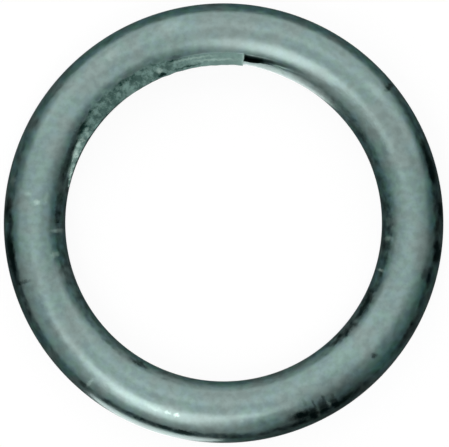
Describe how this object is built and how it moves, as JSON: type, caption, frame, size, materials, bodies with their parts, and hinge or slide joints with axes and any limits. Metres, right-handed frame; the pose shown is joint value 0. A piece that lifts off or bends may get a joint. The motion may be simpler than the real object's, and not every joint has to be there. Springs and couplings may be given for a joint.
{
  "type": "retaining ring",
  "caption": "Closed rubber ring of round section that stretches into the groove of an impact socket and keeps its locking pin in place.",
  "frame": {"origin": "centre of the bore, in the ring's mid-plane", "axes": "+Z along the bore; the torn end of the flash strip lies close to +Y, on the ring's +Z side"},
  "size_m": [0.0264, 0.0264, 0.0036],
  "materials": {
    "rubber": "satin grey-green moulded rubber, worn and lightly smudged"
  },
  "bodies": {
    "root": {"retaining_ring": "rubber"}
  },
  "joints": []
}
